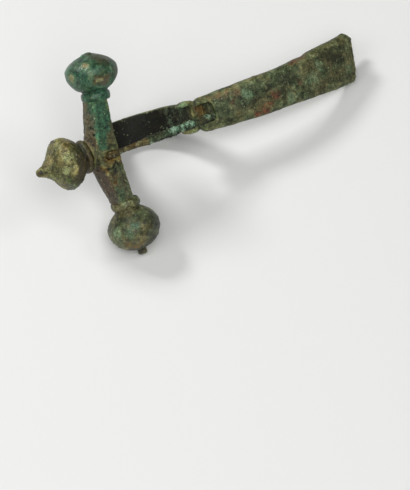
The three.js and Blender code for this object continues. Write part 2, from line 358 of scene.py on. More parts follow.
def bow():
    rings = []
    for t in np.linspace(0, 1, 70):
        p = bow_point(t)
        along = unit(bow_point(min(t + 0.01, 1)) - bow_point(max(t - 0.01, 0)))
        out = np.array([-along[2], 0, along[0]])
        section = [
            (BOW_HALF_INNER, -BOW_INSIDE),
            (-BOW_HALF_INNER, -BOW_INSIDE),
            (-BOW_HALF_INNER, 0.3),
            (-BOW_HALF_OUTER, BOW_OUTSIDE * 0.8),
            (0, BOW_OUTSIDE),
            (BOW_HALF_OUTER, BOW_OUTSIDE * 0.8),
            (BOW_HALF_INNER, 0.3),
        ]
        rings.append(rounded([p + out * lift + np.array([0, side, 0]) for side, lift in section], 0.35))
    return loft(rings)


def moulding():
    rings = []
    for u in np.linspace(0, 1, 28):
        swell = math.sin(math.pi * lerp(0.06, 0.93, u)) ** 0.6
        w = lerp(MOULD_HALF_ENDS, MOULD_HALF, swell)
        h = lerp(1.2, 2.4, swell)
        x = BOW_END[0] - MOULD_LENGTH * (1 - u)
        ring = []
        for side, lift in ((w, -h * 0.8), (-w, -h * 0.8), (-w, h), (w, h)):
            ring.append((x, MOULD_Y + side, BOW_END[1] + lift))
        rings.append(rounded(ring, 0.9))
    return loft(rings)


def moulding_scoop():
    """Clears the moulding from under the bow, so that only its two ears stand out."""
    low = (MOULD_SCOOP_X[0], MOULD_Y - MOULD_SCOOP_HALF, -4)
    return block(low, (MOULD_SCOOP_X[1], MOULD_Y + MOULD_SCOOP_HALF, 5.2))


def foot_point(s):
    x = lerp(BOW_END[0], FOOT_END[0], s)
    z = lerp(BOW_END[1], FOOT_END[1], s) + FOOT_SAG * 4 * s * (1 - s)
    return np.array([x, 0, z])


def foot_half(s):
    start, middle, end = FOOT_HALF
    half = lerp(start, middle, min(s / 0.3, 1))
    half = lerp(half, end, smoothstep(s, 0.48, 0.95))
    far = max(s - 0.93, 0) / 0.07
    near = max(0.03 - s, 0) / 0.03
    return half * (1 - FOOT_END_ROUND * far ** 2.2 - 0.19 * near ** 2)


def foot_ring(s, inset, front, back, corner):
    p = foot_point(s)
    along = unit(foot_point(s + 0.01) - foot_point(s - 0.01))
    out = np.array([-along[2], 0, along[0]])
    sway = FOOT_SWAY * (1 - 5 * max(s - 0.5, 0) * s)
    slant = FOOT_END_SLANT * smoothstep(s, 0.7, 1)
    w = foot_half(s) - inset
    bulge = FAR_BULGE[0] * (1 - smoothstep(s, 0.2, 0.45))
    bulge += FAR_BULGE[1] * smoothstep(s, 0.42, 0.6) * (1 - smoothstep(s, 0.72, 0.86))
    bulge -= EDGE_NOTCH * smoothstep(s, 0.59, 0.65) * (1 - smoothstep(s, 0.66, 0.68))
    v = w + bulge
    ring = []
    for side, lift in (
        (w - 0.9, front),
        (w, front - 1.0),
        (w, back * 0.35),
        (w * 0.82, back * 0.82),
        (w * 0.45, back),
        (-v * 0.45, back),
        (-v * 0.82, back * 0.82),
        (-v, back * 0.35),
        (-v, front - 1.0),
        (-v + 0.9, front),
    ):
        ring.append(p + out * lift + np.array([-side * slant, side + sway, 0]))
    return rounded(ring, corner)


def foot_outside():
    half = FOOT_THICK / 2
    stations = np.concatenate([np.linspace(-0.025, 0.03, 12)[:-1], np.linspace(0.03, 0.93, 60),
                               np.linspace(0.93, 1, 16)[1:]])
    return loft([foot_ring(s, 0, half, -half, 0.5) for s in stations])


def foot_cutters():
    """Hollow of the sheath, its open far end and the mouth for the pin."""
    half = FOOT_THICK / 2
    front = half - PLATE_THICK
    hollow = [foot_ring(s, WALL, front, -half + WALL, 0.3) for s in np.linspace(0.052, 1.03, 40)]
    lip = []
    for s in (1 - LIP, 1.04):
        lip.append(foot_ring(s, foot_half(s) - FOOT_HALF[2] - 1, front, -half - 1, 0.3))
    lip[0][:, 0] -= LIP_LEAN * smoothstep(-lip[0][:, 1], -6, 4)
    end = BOW_END[0] + MOUTH_LENGTH
    deep = pocket((end - MOUTH_LENGTH + 1.6, MOUTH_Y - MOUTH_HALF, -4.2),
                  (end, MOUTH_Y + MOUTH_HALF, 0.8), MOUTH_CORNER)
    shallow = pocket((end - MOUTH_LENGTH - 2, MOUTH_Y - MOUTH_HALF, -5.7),
                     (end, MOUTH_Y + MOUTH_HALF, -0.7), MOUTH_CORNER)
    return [loft(hollow), loft(lip), deep, shallow]


def head_place(along=0):
    place = Matrix.Rotation(math.radians(HEAD_TURN), 4, "Y")
    place = place @ Matrix.Translation((-HEAD_CENTRE, 0, HEAD_RISE))
    place = place @ Matrix.Rotation(math.pi / 2, 4, "Z")
    return place @ Matrix.Translation((0, along, 0))


def side_place(side):
    place = skew() @ Matrix.Translation((KNOB_AXIS_X, side * SIDE_CENTRE[side], 0))
    turn = math.pi + math.radians(ARM_SWEEP) if side < 0 else -math.radians(ARM_SWEEP)
    return place @ Matrix.Rotation(turn, 4, "Z")


def boss():
    reach = HEAD_CENTRE - HEAD_STEM_START + SEAM + 1.5
    profile = [(-2.5, BOSS_RADIUS + 0.4), (2.5, BOSS_RADIUS)]
    return move(turned(profile, 48), head_place(-reach))


def seat_cut():
    reach = HEAD_CENTRE - HEAD_STEM_START + SEAM - 2
    return move(turned([(-2, SEAT_RADIUS), (2, SEAT_RADIUS)], 48), head_place(-reach))


def hinge_slot():
    half = PIN_EYE_HALF + SLOT_GAP
    x, y, z = HINGE
    return block((x - PIN_EYE_RADIUS - 0.25, y - half, z - 4.7), (x + 6.7, y + half, z + 2.3))


def brooch_body():
    whole = combine(crossbar(), [boss(), bow(), moulding(), foot_outside()], "UNION")
    return combine(whole, foot_cutters() + [moulding_scoop(), seat_cut(), hinge_slot()], "DIFFERENCE")


def onion(radius, inner, outer, waist, shoulder, stem, tip):
    """Heights and radii of a side knob with neck and collar, measured from its widest ring."""
    base = -inner - stem
    profile = [(base - COLLAR_LENGTH - 0.4, 2.4), (base - COLLAR_LENGTH, 2.6)]
    profile.append((base - COLLAR_LENGTH + 0.05, COLLAR_RADIUS - 0.5))
    for t in np.linspace(0.1, 0.9, 9):
        bulge = math.sin(math.pi * t) ** 0.5
        profile.append((base - COLLAR_LENGTH * (1 - t), COLLAR_RADIUS - 0.5 + 0.5 * bulge))
    profile.append((base, COLLAR_RADIUS - 0.6))
    for t in np.linspace(0.1, 1, 5):
        profile.append((base + stem * 0.7 * t, lerp(COLLAR_RADIUS - 0.6, NECK_RADIUS, t)))
    for a in np.linspace(0.04, math.pi / 2, 22):
        profile.append((-inner * math.cos(a), lerp(NECK_RADIUS, radius, math.sin(a) ** waist)))
    for a in np.linspace(0.06, math.pi / 2 * 6 / 7, 22):
        profile.append((outer * math.sin(a), radius * math.cos(a) ** shoulder))
    return profile + tip


def head_profile():
    stem = HEAD_CENTRE - HEAD_STEM_START
    profile = [(-stem, 4.5), (-stem + 0.3, 4.8), (-stem + 0.8, 4.9), (-stem + 1.3, 4.8), (-stem + 1.7, 4.3)]
    for a in np.linspace(0.12, math.pi / 2, 20):
        profile.append((-4.9 * math.cos(a), lerp(3.9, HEAD_RADIUS, math.sin(a) ** 1.6)))
    for h in np.linspace(0.2, 2.6, 14):
        profile.append((h, HEAD_RADIUS * math.sqrt(1 - (h / 4.7) ** 2)))
    for i in np.linspace(0.3, 6, 22):
        profile.append((2.6 + i, 6.2 * math.exp(-i / 3.4)))
    return profile + [(8.9, 0.8), (9.1, 0.1)]


def pin_shape():
    angle = np.arange(20) * 2 * math.pi / 20
    end = PIN_TIP - HINGE
    start = np.array([0.4, 0, -PIN_EYE_RADIUS + PIN_NECK_RADIUS])
    rings = []
    for u in np.linspace(0, 1, 60):
        p = lerp(start, end, u)
        r = lerp(PIN_NECK_RADIUS, PIN_RADIUS, smoothstep(u, 0.18, 0.36))
        r *= lerp(1, 0.75, smoothstep(u, 0.93, 0.965))
        rings.append(np.stack([np.full(20, p[0]), p[1] + r * np.cos(angle), p[2] + r * np.sin(angle)], 1))
    eye = turned([(-PIN_EYE_HALF, PIN_EYE_RADIUS), (PIN_EYE_HALF, PIN_EYE_RADIUS)], 48)
    return move(combine(loft(rings), [eye], "UNION"), Matrix.Translation(HINGE))


# ---------------------------------------------------------------- corroded surface

def arrays(piece):
    mesh = piece.data
    co = np.empty(len(mesh.vertices) * 3)
    mesh.vertices.foreach_get("co", co)
    normal = np.empty(len(mesh.vertices) * 3)
    mesh.vertex_normals.foreach_get("vector", normal)
    edge = np.empty(len(mesh.edges) * 2, np.int64)
    mesh.edges.foreach_get("vertices", edge)
    return co.reshape(-1, 3), normal.reshape(-1, 3), edge.reshape(-1, 2)


def relaxed(co, edge, rounds):
    """Positions after averaging with the neighbours a number of times."""
    ends = np.concatenate([edge[:, 0], edge[:, 1]])
    starts = np.concatenate([edge[:, 1], edge[:, 0]])
    count = np.maximum(np.bincount(ends, minlength=len(co)), 1)[:, None]
    for _ in range(rounds):
        mean = np.stack([np.bincount(ends, co[starts, k], len(co)) for k in range(3)], 1) / count
        co = lerp(co, mean, 0.7)
    return co


def near(co, centre, radius, squeeze=(1, 1, 1)):
    """1 at the centre, falling to 0 at the radius."""
    distance = np.linalg.norm((co - np.array(centre)) / np.array(squeeze), axis=1)
    return smoothstep(radius - distance, 0, radius)


def spots(co, seed, count, size, depth):
    """Round pits (depth below 0) or warts at random places on the surface."""
    rng = np.random.default_rng(seed)
    change = np.zeros(len(co))
    for centre in co[rng.integers(0, len(co), count)]:
        radius = size * rng.uniform(0.5, 1.5)
        height = depth * rng.uniform(0.4, 1.0)
        close = np.abs(co - centre).max(1) < radius
        d = np.linalg.norm(co[close] - centre, axis=1) / radius
        change[close] += height * np.clip(1 - d * d, 0, 1) ** 2
    return change


def set_attribute(piece, name, values):
    layer = piece.data.attributes.new(name, "FLOAT", "POINT")
    layer.data.foreach_set("value", np.asarray(values, np.float32))


def lay_down(co):
    """From the brooch's own axes in millimetres to the frame's in metres."""
    pitch = Matrix.Rotation(math.radians(REST_PITCH), 3, "Y")
    turn = np.array(pitch @ Matrix.Rotation(math.radians(REST_ROLL), 3, "X"))
    hinge = np.array(frame["joints"][0]["pos_m"])
    return (co - HINGE) @ turn.T * 0.001 + hinge


def finish_piece(piece, name, change, masks, node, body, material):
    """Moves the surface by change, stores the masks, lays the piece down and ties it to the frame."""
    co, normal, edge = arrays(piece)
    moved = co + normal * change[:, None]
    flat = relaxed(moved, edge, RELIEF_ROUNDS)
    set_attribute(piece, "relief", ((moved - flat) * normal).sum(1) / RELIEF_HEIGHT)
    for mask, values in masks.items():
        set_attribute(piece, mask, values)
    placed = np.clip(lay_down(moved), np.array(cad_low) + BOX_MARGIN, np.array(cad_high) - BOX_MARGIN)
    piece.data.vertices.foreach_set("co", placed.ravel())
    piece.data.update()
    piece.name = name
    piece.data.name = name
    piece.data.polygons.foreach_set("use_smooth", np.ones(len(piece.data.polygons), bool))
    piece.data.materials.clear()
    piece.data.materials.append(material)
    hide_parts(node)
    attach(piece, body)
    return piece


def patches(co, places, ragged=0.9):
    """Strongest of several soft patches with uneven outlines, each (x, y, z, radius)."""
    drift = np.stack([noise(co, 1.9, 71) + 0.5 * noise(co, 0.8, 72), noise(co, 1.9, 73),
                      noise(co, 1.9, 74)], 1)
    co = co + ragged * drift
    return np.max([near(co, place[:3], place[3]) for place in places], axis=0)


# ---------------------------------------------------------------- materials

class Nodes:
    """Short forms for the nodes that the patina is made of."""

    def __init__(self, name):
        self.material = bpy.data.materials.new(name)
        self.material.use_nodes = True
        self.tree = self.material.node_tree
        self.shader = self.tree.nodes["Principled BSDF"]
        self.place = self.tree.nodes.new("ShaderNodeTexCoord").outputs["Object"]

    def link(self, source, target):
        self.tree.links.new(source, target)

    def noise(self, size_mm, detail=4.0, rough=0.6, distortion=0.0):
        node = self.tree.nodes.new("ShaderNodeTexNoise")
        node.inputs["Scale"].default_value = 1000 / size_mm
        node.inputs["Detail"].default_value = detail
        node.inputs["Roughness"].default_value = rough
        node.inputs["Distortion"].default_value = distortion
        self.link(self.place, node.inputs["Vector"])
        return node.outputs["Fac"]

    def cells(self, size_mm):
        node = self.tree.nodes.new("ShaderNodeTexVoronoi")
        node.inputs["Scale"].default_value = 1000 / size_mm
        self.link(self.place, node.inputs["Vector"])
        return node.outputs["Distance"]

    def attribute(self, name):
        node = self.tree.nodes.new("ShaderNodeAttribute")
        node.attribute_name = name
        return node.outputs["Fac"]

    def math(self, operation, a, b):
        node = self.tree.nodes.new("ShaderNodeMath")
        node.operation = operation
        for socket, value in zip(node.inputs, (a, b)):
            if isinstance(value, (int, float)):
                socket.default_value = value
            else:
                self.link(value, socket)
        return node.outputs[0]

    def span(self, value, low, high, to_low=0.0, to_high=1.0):
        node = self.tree.nodes.new("ShaderNodeMapRange")
        for socket, number in zip(node.inputs[1:5], (low, high, to_low, to_high)):
            socket.default_value = number
        self.link(value, node.inputs[0])
        return node.outputs[0]

    def ramp(self, value, stops):
        node = self.tree.nodes.new("ShaderNodeValToRGB")
        elements = node.color_ramp.elements
        while len(elements) < len(stops):
            elements.new(0.5)
        for element, (position, colour) in zip(elements, stops):
            element.position = position
            element.color = (*linear(colour), 1)
        self.link(value, node.inputs[0])
        return node.outputs[0]

    def mix(self, factor, a, b, blend="MIX"):
        node = self.tree.nodes.new("ShaderNodeMix")
        node.data_type = "RGBA"
        node.blend_type = blend
        for socket, value in zip((node.inputs[0], node.inputs[6], node.inputs[7]), (factor, a, b)):
            if isinstance(value, (int, float)):
                socket.default_value = value
            elif isinstance(value, tuple):
                socket.default_value = (*linear(value), 1)
            else:
                self.link(value, socket)
        return node.outputs[2]


def linear(colour):
    """Screen colour, 0 to 255, as linear light."""
    c = np.array(colour, float) / 255
    return tuple(np.where(c <= 0.04045, c / 12.92, ((c + 0.055) / 1.055) ** 2.4))


def patina(name, ground, accents=(), pale=None, roughness=(0.42, 0.72), grain=0.5, metallic=0.0,
           gloss=0.5, shade=1.0):
    """Mottled crust: a noisy ground of several tones, patches of other colours that follow the
    named masks with ragged edges (some masks carry painted shade and painted highlights), grit,
    painted shade in the hollows and wear on what stands out. Shade darkens or lightens the whole."""
    n = Nodes(name)
    broad = n.noise(3.8, 5, 0.62, 0.6)
    fine = n.noise(1.2, 6, 0.66, 0.3)
    grit = n.noise(0.4, 3, 0.6)
    mottle = n.math("ADD", n.math("MULTIPLY", broad, 0.5), n.math("MULTIPLY", fine, 0.5))
    colour = n.ramp(n.span(mottle, 0.36, 0.64), ground)
    ragged = n.noise(1.5, 6, 0.75, 0.8)
    for mask, dark, light, reach in accents:
        level = n.math("MULTIPLY", n.attribute(mask), n.span(ragged, 0.3, 0.7, 1 - reach, 1 + reach))
        tone = n.mix(n.span(fine, 0.38, 0.62), dark, light)
        colour = n.mix(n.span(level, 0.2, 0.75), colour, tone)
    if pale:
        dots = n.math("MULTIPLY", n.span(n.cells(0.9), 0.3, 0.12), n.span(n.noise(2.2, 4), 0.5, 0.64))
        colour = n.mix(dots, colour, pale)
    low = tuple(shade * tone for tone in (196, 194, 184))
    high = tuple(shade * tone for tone in (286, 286, 272))
    colour = n.mix(1.0, colour, n.mix(n.span(grit, 0.36, 0.64), low, high), "MULTIPLY")
    hue = n.mix(n.span(n.noise(6.5, 3), 0.42, 0.58), (262, 250, 236), (238, 256, 252))
    colour = n.mix(1.0, colour, hue, "MULTIPLY")
    relief = n.attribute("relief")
    # painted shade: the hollows of the relief are darkened, as shade falls in them
    hollow_shade = n.mix(n.span(relief, -1.3, -0.1), (84, 82, 72), (255, 255, 255))
    colour = n.mix(1.0, colour, hollow_shade, "MULTIPLY")
    heights = n.mix(n.span(relief, 0.1, 1.5), (255, 255, 255), (330, 330, 312))
    colour = n.mix(1.0, colour, heights, "MULTIPLY")
    n.link(colour, n.shader.inputs["Base Color"])
    n.link(n.span(fine, 0.3, 0.7, *roughness), n.shader.inputs["Roughness"])
    n.shader.inputs["Metallic"].default_value = metallic
    n.shader.inputs["Specular IOR Level"].default_value = gloss
    bump = n.tree.nodes.new("ShaderNodeBump")
    bump.inputs["Strength"].default_value = grain
    bump.inputs["Distance"].default_value = BUMP_DISTANCE
    height = n.math("ADD", n.noise(0.5, 5, 0.72), n.math("MULTIPLY", n.cells(0.6), 0.4))
    n.link(height, bump.inputs["Height"])
    n.link(bump.outputs["Normal"], n.shader.inputs["Normal"])
    return n.material


# ---------------------------------------------------------------- pieces

def make_body():
    piece = remesh(brooch_body(), BODY_VOXEL)
    co, normal, _ = arrays(piece)
    x, y, z = co.T
    back = smoothstep(-normal[:, 2], 0.7, 0.92)
    bar = x < 6
    foot = x > 30.5

    change = 0.11 * noise(co, 5.0, 1) + 0.07 * cloud(co, 1.7, 3, 2) + 0.03 * noise(co, 0.5, 6)
    change -= 0.12 * smoothstep(cloud(co, 1.1, 2, 5), 0.25, 0.8)
    change += spots(co, 3, 420, 0.8, 0.14) + spots(co, 4, 420, 0.7, -0.15)
    lumps = near(co, (-2.6, 3.0, -4.0), 5.2, (1, 1.2, 1)) * bar
    crack = 1 - smoothstep(np.abs(noise(co, 2.4, 8)), 0.0, 0.14)
    change += lumps * (0.45 * cloud(co, 1.9, 3, 9) + 0.12 - 0.4 * crack)
    chipped = smoothstep(-y, 3.2, 5) * smoothstep(-x, 3.0, 4.4) * bar
    change -= chipped * 0.3 * smoothstep(cloud(co, 1.6, 2, 12), -0.1, 0.5)
    arm_b = smoothstep(y, 3.5, 6) * bar
    change += arm_b * 0.12 * cloud(co, 1.3, 3, 13)
    dent = near(co, (76.3, -1.7, -4.4), 3.4, (1.3, 0.8, 1))
    change -= 0.35 * dent
    slot = (np.abs(y - HINGE[1]) < 1.5) & (x > -4.4) & (x < 2.5) & (z > -4.2)
    change = np.where(slot, np.minimum(change, 0) * 0.5, change)
    inside = foot & (z > -1.2 - 0.1 * (x - 30)) & (np.abs(y) < 4.5)
    change = np.where(inside, 0.5 * change, change)

    under = (z > 2.0) & (x > 1.5) & (x < 29) & (np.abs(y) < 4.3)
    under &= (normal[:, 2] < 0.4) & (np.abs(normal[:, 1]) < 0.8)
    teal_edge = smoothstep(x, -5.8, -4.4) * smoothstep(-y, -0.2, 1.4) * (z < 1)
    masks = {
        "teal": bar * teal_edge * patches(co, [
            (-1.4, -13, -3.4, 5), (-1.2, -10, -3.6, 4.6), (-2.0, -7, -3.9, 4.0), (-3.6, -4.4, -4.1, 3.0),
            (-4.2, -2.4, -4.2, 3.0), (-3.6, -0.8, -4.2, 2.2)]) * 1.4
        + bar * patches(co, [(-3.0, 12, -3.6, 3.4), (-1.5, 9.5, -3.6, 2.2), (-2.5, 14.5, -3, 2.6),
                             (-4.6, -13, -1.5, 2.2)]) * 0.5,
        "rust": bar * patches(co, [(-2.8, 2.4, -4, 4.4), (0.4, 2.8, -3.6, 3.6), (-5, 4.5, -3.5, 2.8)])
        + patches(co, [(29.6, 0.8, -0.3, 2.6), (30, -2, -0.6, 2.0), (-3.0, 9.1, -3.7, 1.6),
                       (-2.0, 7.6, -3.8, 1.3)]),
        "brown": bar * ((1 - back) * smoothstep(-y, 1.5, 3) * (x < -3.0)
                        + 0.75 * patches(co, [(0.4, -2.5, -4.1, 2.6), (0.6, -5.2, -3.9, 2.2)])
                        + 0.5 * smoothstep(y, 5, 7)),
        "plum": bar * (1 - back) * (x < -3.5) * smoothstep(y, 2.5, 4.5),
        # painted shade: the underside of the bow, which lies in shadow, is painted near black, fading towards
        # the moulding
        "painted_shade_under_bow": under * (1 - 0.6 * smoothstep(x, 27.0, 28.6)),
        "chalk": under * 0.3 * smoothstep(x, 22, 26.5),
        "red": patches(co, [(39.6, -0.7, -4.4, 2.2), (62.0, -5.6, -4.6, 3.6), (64.5, -5.6, -4.6, 2.6),
                            (52.3, 2.1, -6.3, 3.0), (48.3, 4.9, -5.6, 3.4), (45.5, 5.4, -5.0, 2.4),
                            (61.0, 0.4, -6.4, 1.9), (50.5, 3.4, -6.2, 2.2)]) * 0.66,
        "pink": patches(co, [(36, -4, -3, 2.8), (38.6, -3.6, -3.8, 2.6), (33.5, -4.0, -2, 2.2),
                             (41, -3, -4.6, 2.4)]) * 0.6,
        "pale": patches(co, [(26, -4.2, 0, 2.6), (27, 4.2, 0, 2.6), (66, 1, -6, 4.8), (69, -2, -5.8, 3.6),
                             (79, 2.2, -4, 2.8), (44, -1, -5.2, 3.5), (57, 3.5, -6, 3.6)]) * 0.72,
        # painted light: a lighter streak along the foot's upper bevel, where the light falls
        "light": patches(co, [(42, -4.6, -4.0, 2.6), (46, -4.8, -4.3, 2.6), (50, -5.0, -4.8, 2.4),
                              (54, -5, -5, 2.2), (36, -4.6, -1.5, 2)]) * 0.8,
        "dark": dent + patches(co, [(73.5, -3.5, -4.6, 4.5), (57, -1, -6.4, 4.4), (51, -1.5, -6, 3.6),
                                    (68, 4, -5, 4)]) * 0.72,
        # amber-brown patina inside the mouth of the sheath, lightened as painted light where the mouth lies in
        # shade
        "amber_and_painted_light": patches(co, [(31.5, -1.0, -0.6, 2.8)]) * (z > -2.2),
    }
    ground = [(0.0, (34, 38, 24)), (0.28, (62, 66, 44)), (0.5, (86, 90, 64)), (0.75, (112, 114, 84)),
              (1.0, (150, 154, 120))]
    accents = [
        ("brown", (70, 66, 54), (112, 106, 88), 0.4),
        ("plum", (66, 58, 52), (104, 94, 84), 0.5),
        ("teal", (36, 66, 52), (76, 118, 94), 0.5),
        # painted light along the foot's upper bevel
        ("light", (104, 108, 80), (138, 142, 112), 0.8),
        ("pale", (84, 104, 80), (134, 152, 124), 0.9),
        ("dark", (36, 40, 28), (62, 66, 46), 0.8),
        ("pink", (104, 84, 64), (138, 116, 90), 0.9),
        ("red", (88, 48, 38), (128, 80, 62), 0.9),
        ("rust", (60, 44, 22), (120, 98, 56), 0.6),
        # painted shade under the bow
        ("painted_shade_under_bow", (12, 12, 6), (30, 30, 16), 0.2),
        ("chalk", (60, 66, 50), (150, 160, 138), 1.0),
        # amber-brown, partly painted light inside the mouth
        ("amber_and_painted_light", (90, 76, 44), (128, 110, 70), 0.5),
    ]
    material = patina("patina_dark_green", ground, accents, (156, 168, 140), (0.46, 0.74),
                      gloss=0.3, shade=0.93)
    return finish_piece(piece, "brooch_body", change, masks, "body", "brooch", material)


def make_side_knob(side, name, node, profile, texture, masks, material):
    piece = remesh(turned(profile, 96), KNOB_VOXEL)
    co, _, _ = arrays(move(piece, side_place(side)))
    return finish_piece(piece, name, texture(co), masks(co), node, "brooch", material)


def make_knob_a():
    profile = onion(SIDE_RADIUS, 5.4, 5.0, 1.4, 1.35, 0.5, [(5.15, 0.8), (5.3, 0.1)])

    def texture(co):
        change = 0.11 * noise(co, 4.0, 21) + 0.05 * cloud(co, 1.4, 3, 22)
        change += spots(co, 23, 80, 0.8, -0.15) + spots(co, 24, 60, 0.7, 0.1)
        for place in ((-0.4, -27.3, -1.2, 1.0), (1.6, -27.1, -1.8, 0.9), (0.6, -27.7, 0.4, 1.0)):
            change += 0.35 * near(co, place[:3], place[3])
        ridge = near(co, (-0.2, -20.0, -6.9), 1.9, (1.6, 0.6, 1))
        return change + 0.3 * ridge

    def masks(co):
        return {
            # olive: olive-green tone, darkened as painted shade on the knob's side away from the light; the
            # first dark patch is painted shade there too
            "olive": patches(co, [(3.5, -25, -4.6, 6.0), (5.5, -21.5, -4.2, 5.0), (1.5, -27, -2, 3.0)]),
            "ochre": patches(co, [(-0.7, -19.9, -6.9, 3.6), (1.8, -19.6, -6.6, 3.4)]),
            # painted highlights: the pale patches and the first tan patch are glints of light; the other tan
            # patches are tan streaks in the crust
            "tan": patches(co, [(-6.0, -22.5, -2.2, 1.7), (-0.6, -20.0, -6.9, 1.5), (0.6, -20.1, -6.9, 1.2),
                                (-2.4, -25.2, -5.6, 1.2)], 0.5),
            "pale": patches(co, [(-2.3, -24.6, -5.8, 2.6), (-2.2, -22.6, -6.6, 2.0), (-6.0, -22.5, -2.2, 2.8)]),
            "dark": patches(co, [(7.2, -22, -2, 3.6), (-0.2, -27.4, -1.2, 1.6), (1.8, -27.2, -1.4, 1.4)]),
            "deep": smoothstep(co[:, 1], -18.2, -16.6),
        }

    ground = [(0.0, (28, 56, 44)), (0.3, (46, 84, 66)), (0.52, (66, 110, 86)), (0.78, (92, 132, 104)),
              (1.0, (136, 162, 128))]
    accents = [
        # olive and the first dark patch are partly painted shade on the side away from the light
        ("olive", (38, 48, 32), (80, 88, 60), 0.5),
        ("dark", (34, 44, 34), (60, 70, 52), 0.5),
        ("deep", (30, 66, 52), (72, 122, 98), 0.4),
        # pale and the first tan patch are painted highlights
        ("pale", (88, 120, 90), (136, 154, 120), 0.7),
        ("ochre", (78, 70, 42), (114, 100, 62), 0.6),
        ("tan", (140, 132, 92), (172, 162, 122), 0.4),
    ]
    material = patina("patina_teal", ground, accents, (140, 164, 132), (0.28, 0.52), 0.4, shade=0.87)
    return make_side_knob(-1, "onion_knob_a", "knob_side_a", profile, texture, masks,
                          material)


def make_knob_b():
    tip = [(6.75, 1.45), (7.0, 1.35), (7.5, 1.38), (7.9, 1.3), (8.15, 1.0), (8.3, 0.1)]
    profile = onion(SIDE_RADIUS, 5.4, 6.6, 1.9, 1.05, 0.5, tip)

    def texture(co):
        change = 0.16 * noise(co, 4.4, 31) + 0.07 * cloud(co, 1.4, 3, 32)
        change += spots(co, 33, 120, 0.8, -0.18) + spots(co, 34, 100, 0.7, 0.14)
        return change + 0.7 * near(co, (4.4, 16.9, -2.2), 1.8)

    def masks(co):
        return {
            "teal": patches(co, [(-4.6, 23.6, -5.6, 2.8), (-2.8, 22.4, -6.4, 2.4)]) * 0.9,
            "ochre": patches(co, [(-5.0, 27.2, -3.3, 2.8), (-3.0, 28.4, -3.6, 2.6), (-1.2, 27.6, -5.0, 2.2)]),
            # painted shade: the dark patches lie on the knob's lower and right side, away from the light
            "dark": patches(co, [(-2.4, 30.2, -0.8, 4.2), (1, 29.6, -2.6, 3.6), (6, 25, -3.6, 4.6),
                                 (3, 28, -4.4, 3)]),
            # painted highlights: pale glints on the collar and on the knob's lit side
            "pale": patches(co, [(-6.8, 22.8, -2.6, 2.4), (-2.5, 16.2, -3.2, 2.0), (0.2, 16.4, -3.8, 1.8)]),
            "shade": patches(co, [(3.6, 23.5, -6.0, 5.2), (1.2, 26.0, -6.0, 3.4)]) * 0.9,
        }

    ground = [(0.0, (40, 42, 28)), (0.28, (68, 70, 48)), (0.5, (96, 98, 70)), (0.75, (124, 124, 92)),
              (1.0, (164, 164, 132))]
    accents = [
        ("teal", (64, 92, 72), (112, 136, 110), 0.8),
        # shade and dark are painted shade, pale is painted highlight
        ("shade", (44, 48, 34), (74, 78, 56), 0.5),
        ("ochre", (88, 76, 38), (126, 110, 62), 0.7),
        ("dark", (38, 38, 30), (62, 62, 50), 0.4),
        ("pale", (112, 124, 92), (158, 170, 138), 0.8),
    ]
    material = patina("patina_olive", ground, accents, (158, 168, 142), (0.36, 0.62), 0.5,
                      gloss=0.4, shade=0.94)
    return make_side_knob(1, "onion_knob_b", "knob_side_b", profile, texture, masks,
                          material)


def make_knob_head():
    piece = move(remesh(turned(head_profile(), 96), KNOB_VOXEL), head_place())
    co, _, _ = arrays(piece)
    x = co[:, 0]
    change = 0.2 * noise(co, 3.6, 41) + 0.14 * cloud(co, 1.3, 3, 42) + 0.05 * noise(co, 0.5, 47)
    change -= 0.16 * smoothstep(cloud(co, 1.0, 2, 43), 0.2, 0.75)
    change += spots(co, 44, 160, 0.7, 0.18) + spots(co, 45, 120, 0.6, -0.16)
    ridge_x = -14.6 + 1.3 * noise(co, 4.0, 48)
    ridge = (1 - smoothstep(np.abs(x - ridge_x), 0.1, 0.6)) * smoothstep(co[:, 1], -6, -2)
    change += 0.24 * ridge * smoothstep(noise(co, 2.2, 49), -0.4, 0.3)
    change *= np.where(x < -21.5, 0.4, 1) * np.where(x > -9.2, 0.5, 1)
    masks = {
        # umber crust, darkened as painted shade over the half of the knob facing the crossbar and towards the
        # collar
        "umber_and_painted_shade": patches(co, [(-12.5, 4.5, -3.5, 5.2), (-13.5, 6.5, -1.5, 5.2), (-11.6, 0, -5.2, 2.6)])
        + 0.8 * smoothstep(x + 0.3 * co[:, 1], -16.0, -12.0) + 0.4 * smoothstep(x, -11.4, -9.8),
        "dark": patches(co, [(-22.5, 0, 0.6, 1.9)]) + 0.5 * (1 - smoothstep(np.abs(x + 9.0), 0.15, 0.5)),
        # pale crust, brightened as painted highlights on the knob's lit face
        "pale": patches(co, [(-15.8, -3, -6.0, 3.8), (-17.4, 0.5, -4.6, 3.0), (-15.0, 1.5, -5.8, 2.4)]) * 0.9,
        "green": patches(co, [(-15.2, 6.4, -2.6, 2.8), (-17, 4.0, -4.0, 2.4)]) * 0.8,
    }
    ground = [(0.0, (44, 40, 20)), (0.28, (82, 76, 42)), (0.5, (116, 110, 66)), (0.75, (146, 140, 92)),
              (1.0, (196, 190, 144))]
    accents = [
        # umber, partly painted shade on the side facing the crossbar
        ("umber_and_painted_shade", (44, 40, 22), (90, 84, 52), 0.5),
        ("green", (66, 76, 38), (104, 116, 66), 0.7),
        # pale crust with painted highlights
        ("pale", (112, 106, 62), (184, 178, 130), 0.7),
        ("dark", (30, 27, 18), (58, 52, 36), 0.4),
    ]
    material = patina("patina_golden_olive", ground, accents, (196, 192, 150), (0.3, 0.58), 0.8, 0.1,
                      gloss=0.5, shade=0.95)
    return finish_piece(piece, "onion_knob_head", change, masks, "knob_head", "brooch",
                        material)


